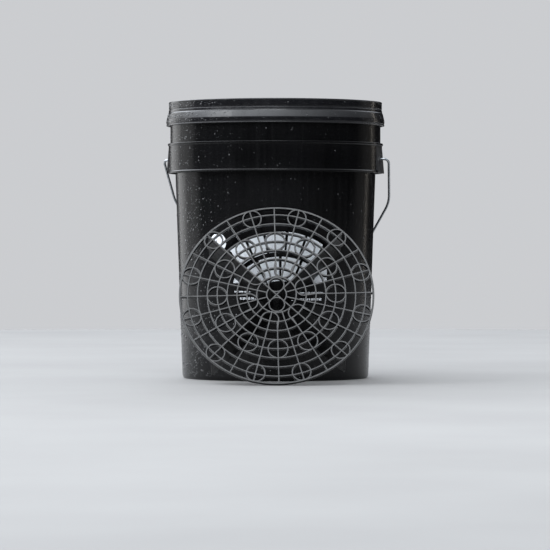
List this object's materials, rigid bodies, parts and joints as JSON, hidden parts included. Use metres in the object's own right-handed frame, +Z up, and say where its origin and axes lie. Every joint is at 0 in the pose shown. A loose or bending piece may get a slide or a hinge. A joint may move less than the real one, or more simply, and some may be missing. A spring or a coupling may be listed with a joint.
{
  "type": "wash bucket",
  "caption": "Tall round moulded bucket with a screw lid in a press-on ring, a swinging wire bail with a roller grip, and a round dirt guard grid leaning on its front.",
  "frame": {"origin": "centre of the shell's underside, on the floor", "axes": "+Z up along the bucket's axis, -Y to the front where the dirt guard leans, +X to the viewer's right"},
  "size_m": [0.3199, 0.431, 0.385],
  "materials": {
    "shell_plastic": "glossy black polyethylene, fine vertical drag marks",
    "lid_plastic": "satin black polyethylene",
    "seal_rubber": "matt black rubber",
    "galvanised_wire": "bright galvanised steel wire",
    "grip_plastic": "satin black plastic",
    "guard_plastic": "satin black plastic",
    "print_ink": null
  },
  "bodies": {
    "bucket": {"bucket_shell": "shell_plastic", "adapter_ring": "lid_plastic", "ring_gasket": "seal_rubber"},
    "lid_carrier": {"lid_seal": "seal_rubber"},
    "lid": {"screw_lid": "lid_plastic"},
    "bail": {"bail_wire": "galvanised_wire"},
    "grip": {"bail_grip": "grip_plastic"},
    "guard": {"guard_grid": "guard_plastic", "guard_vane_1": "guard_plastic", "guard_vane_2": "guard_plastic", "guard_vane_3": "guard_plastic", "guard_vane_4": "guard_plastic"}
  },
  "joints": [
    {"name": "bail_swing", "type": "hinge", "parent": "bucket", "child": "bail", "pos_m": [0, 0, 0.306], "axis": [0.9848, -0.1736, 0], "range_deg": [0, 245]},
    {"name": "grip_roll", "type": "hinge", "parent": "bail", "child": "grip", "pos_m": [0.02565, 0.14548, 0.13365], "axis": [0.9848, -0.1736, 0], "continuous": true},
    {"name": "lid_lift", "type": "slide", "parent": "bucket", "child": "lid_carrier", "axis": [0, 0, 1], "range_m": [0, 0.13]},
    {"name": "lid_turn", "type": "hinge", "parent": "lid_carrier", "child": "lid", "pos_m": [0, 0, 0.37], "axis": [0, 0, 1], "range_deg": [0, 300]},
    {"name": "guard_lift", "type": "slide", "parent": "bucket", "child": "guard", "axis": [0, -0.8988, 0.4384], "range_m": [0, 0.25]}
  ]
}
